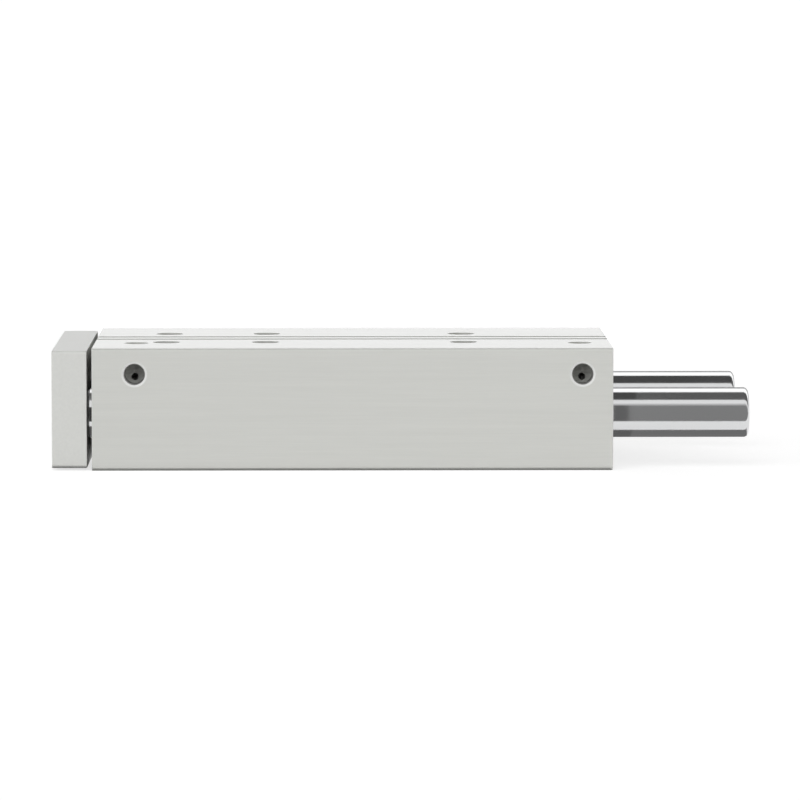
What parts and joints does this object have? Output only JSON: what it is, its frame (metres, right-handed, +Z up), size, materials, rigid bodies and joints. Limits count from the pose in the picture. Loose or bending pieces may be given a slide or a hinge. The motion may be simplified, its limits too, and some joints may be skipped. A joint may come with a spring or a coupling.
{
  "type": "guided pneumatic cylinder",
  "caption": "Flat guided pneumatic cylinder: aluminium block with air ports, sensor slots and counterbored mounting holes, a yoke plate tied to sliding guide rods and an inner piston.",
  "frame": {"origin": "centre of the housing's underside", "axes": "+X along the guide rods from the yoke towards the rod tails, +Z up through the face with the sensor slots, -Y towards the narrow face with the open ports"},
  "size_m": [0.279, 0.11, 0.049],
  "materials": {
    "anodised_aluminium": "satin, clear anodised",
    "blasted_aluminium": "bead blasted, clear anodised",
    "turned_aluminium": "turned",
    "chromed_steel": "ground and hard chromed",
    "zinc_plated_steel": "zinc plated",
    "spring_steel": "phosphated",
    "bronze": "sintered bronze",
    "nickel_plated_brass": "nickel plated",
    "black_rubber": "moulded",
    "magnet": "plastic-bound ferrite",
    "guide_band": "moulded"
  },
  "bodies": {
    "housing_body": {"housing": "anodised_aluminium", "front_cover": "turned_aluminium", "front_cover_seal": "black_rubber", "front_retaining_ring": "spring_steel", "rod_bush": "bronze", "rod_seal": "black_rubber", "rear_cover": "turned_aluminium", "rear_cover_seal": "black_rubber", "rear_retaining_ring": "spring_steel", "guide_bush_front_near": "bronze", "guide_bush_front_far": "bronze", "guide_bush_rear_near": "bronze", "guide_bush_rear_far": "bronze", "guide_wiper_near": "black_rubber", "guide_wiper_far": "black_rubber", "port_plug_front": "nickel_plated_brass", "port_plug_rear": "nickel_plated_brass"},
    "yoke_body": {"yoke_plate": "blasted_aluminium", "guide_rod_near": "chromed_steel", "guide_rod_far": "chromed_steel", "guide_rod_screws": "zinc_plated_steel", "piston_rod": "chromed_steel", "piston_rod_screw": "zinc_plated_steel", "piston_front_half": "turned_aluminium", "piston_rear_half": "turned_aluminium", "piston_magnet": "magnet", "piston_seal_front": "black_rubber", "piston_seal_rear": "black_rubber", "piston_guide_ring": "guide_band", "cushion_ring_front": "black_rubber", "cushion_ring_rear": "black_rubber", "piston_nut": "zinc_plated_steel"}
  },
  "joints": [
    {"name": "yoke_slide", "type": "slide", "parent": "housing_body", "child": "yoke_body", "axis": [-1, 0, 0], "range_m": [0, 0.16]}
  ]
}
